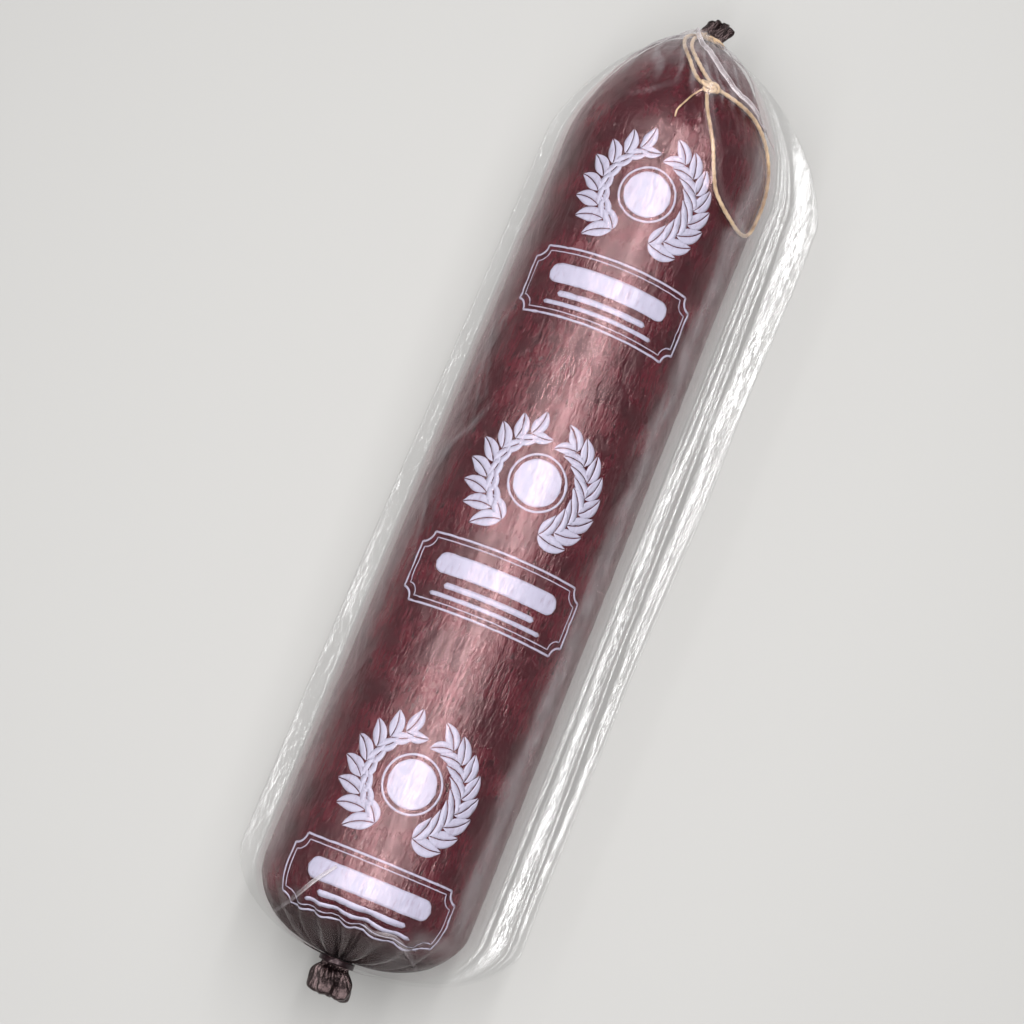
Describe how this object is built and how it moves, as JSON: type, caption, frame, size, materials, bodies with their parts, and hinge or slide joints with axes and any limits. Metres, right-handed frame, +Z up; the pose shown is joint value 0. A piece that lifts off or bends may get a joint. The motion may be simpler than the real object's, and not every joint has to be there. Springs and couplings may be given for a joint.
{
  "type": "cured sausage",
  "caption": "Whole salami in a dark printed casing, clipped at one end and tied with a twine loop at the other, lying in a clear pouch.",
  "frame": {"origin": "middle of the flat strip on the underside that the sausage rests on, halfway between its two necks", "axes": "+X along the sausage from the blunt clipped end to the tied end, +Y to the left of that seen from above, +Z up"},
  "size_m": [0.455, 0.1296, 0.0925],
  "materials": {
    "casing": "smooth fibrous casing dyed dark burgundy, satin, finely wrinkled",
    "clip": "dark lacquered wire clip",
    "twine": "natural two-ply jute twine, matt",
    "film": "clear glossy pouch film, creased",
    "print": "pale printing ink, satin"
  },
  "bodies": {
    "root": {"filled_casing": "casing", "neck_clip": "clip", "twine_neck_wrap": "twine", "twine_lead_left": "twine", "twine_lead_right": "twine", "twine_knot": "twine", "twine_loop": "twine", "pouch_front_film": "film", "pouch_back_film": "film"}
  },
  "joints": []
}
